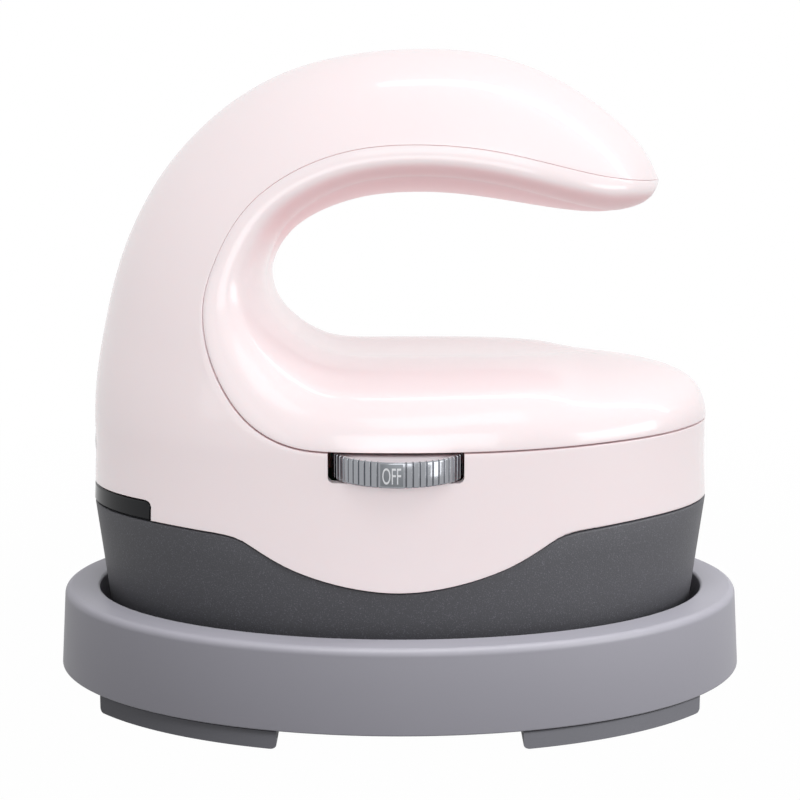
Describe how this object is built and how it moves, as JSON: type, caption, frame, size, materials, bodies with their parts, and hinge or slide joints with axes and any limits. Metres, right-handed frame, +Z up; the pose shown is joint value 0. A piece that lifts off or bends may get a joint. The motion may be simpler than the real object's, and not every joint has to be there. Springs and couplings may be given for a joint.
{
  "type": "mini heat press",
  "caption": "Mini heat press with a C-shaped hand grip, oval heating plate, side thumbwheel for the heat and a footed oval safety tray.",
  "frame": {"origin": "on the table under the middle of the oval tray", "axes": "+X towards the nose of the grip, -Y towards the side with the heat dial, +Z up"},
  "size_m": [0.1318, 0.0918, 0.1201],
  "materials": {
    "pink_plastic": "satin moulded plastic, pale pink",
    "charcoal_plastic": "fine grained heat resistant plastic",
    "dark_lens": "polished smoked plastic",
    "tray_plastic": "satin moulded plastic, blue grey",
    "foot_rubber": "matt rubber",
    "silicone": "matt silicone",
    "chrome_plate": "bright plated",
    "plate_coating": "dark non-stick coating on cast aluminium",
    "steel": "plated steel",
    "black_plastic": "moulded",
    "board_laminate": "coated circuit board",
    "ceramic": "plain ceramic or phenolic",
    "clear_plastic": "polished clear",
    "lead_sleeve": "glass fibre sleeve, red"
  },
  "bodies": {
    "safety_base": {"tray_base": "tray_plastic", "foot_rear_near": "foot_rubber", "foot_front_near": "foot_rubber", "foot_rear_far": "foot_rubber", "foot_front_far": "foot_rubber", "rest_pad_1": "silicone", "rest_pad_2": "silicone", "rest_pad_3": "silicone", "rest_pad_4": "silicone"},
    "press": {"outer_shell": "pink_plastic", "grip_cover": "pink_plastic", "skirt": "charcoal_plastic", "indicator_lens": "dark_lens", "soleplate_gasket": "silicone", "soleplate": "plate_coating", "heating_element": "steel", "heat_shield": "steel", "soleplate_screw_1": "steel", "soleplate_screw_2": "steel", "soleplate_screw_3": "steel", "sensor_screw": "steel", "frame_screw_1": "steel", "frame_screw_2": "steel", "frame_screw_3": "steel", "frame_screw_4": "steel", "board_screw_1": "steel", "board_screw_2": "steel", "board_screw_3": "steel", "board_screw_4": "steel", "heat_sink": "steel", "tilt_sensor": "steel", "thermistor": "steel", "cord_gland": "black_plastic", "inner_frame": "black_plastic", "rotary_switch": "black_plastic", "control_chip": "black_plastic", "terminal_block": "black_plastic", "triac": "black_plastic", "circuit_board": "board_laminate", "heat_spacer_1": "ceramic", "heat_spacer_2": "ceramic", "heat_spacer_3": "ceramic", "thermal_fuse": "ceramic", "capacitor": "ceramic", "status_led": "clear_plastic", "light_pipe": "clear_plastic", "heater_lead_1": "lead_sleeve", "heater_lead_2": "lead_sleeve"},
    "dial": {"thumbwheel": "chrome_plate", "dial_shaft": "steel"}
  },
  "joints": [
    {"name": "press_lift", "type": "slide", "parent": "safety_base", "child": "press", "axis": [0, 0, 1], "range_m": [0, 0.06]},
    {"name": "dial_turn", "type": "hinge", "parent": "press", "child": "dial", "pos_m": [-0.0003, -0.0273, 0.0454], "axis": [0, 0, -1], "range_deg": [0, 180]}
  ]
}
